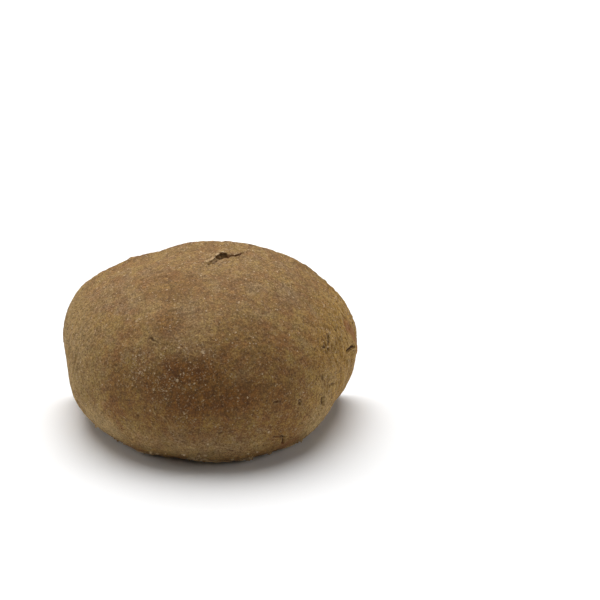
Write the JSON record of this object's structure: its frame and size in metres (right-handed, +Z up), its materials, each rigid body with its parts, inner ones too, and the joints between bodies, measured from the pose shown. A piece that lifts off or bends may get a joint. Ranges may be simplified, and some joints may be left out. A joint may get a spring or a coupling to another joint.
{
  "type": "rye wheat loaf",
  "caption": "Half of a round rye wheat loaf with a domed browned crust, a flat base and one straight vertical cut face with pores.",
  "frame": {"origin": "centre of the footprint's box, at the surface that the flat base rests on", "axes": "+Z up, +Y towards the flat cut face, -Y towards the rounded end, +X across the loaf, its longest extent"},
  "size_m": [0.134, 0.08, 0.0765],
  "materials": {
    "crust": "dry matte browned crust, darker and redder low at the front, olive tan at the sides",
    "crumb": "soft grey brown rye crumb with open pores, dull"
  },
  "bodies": {
    "root": {"rye_wheat_loaf": "crust"}
  },
  "joints": []
}
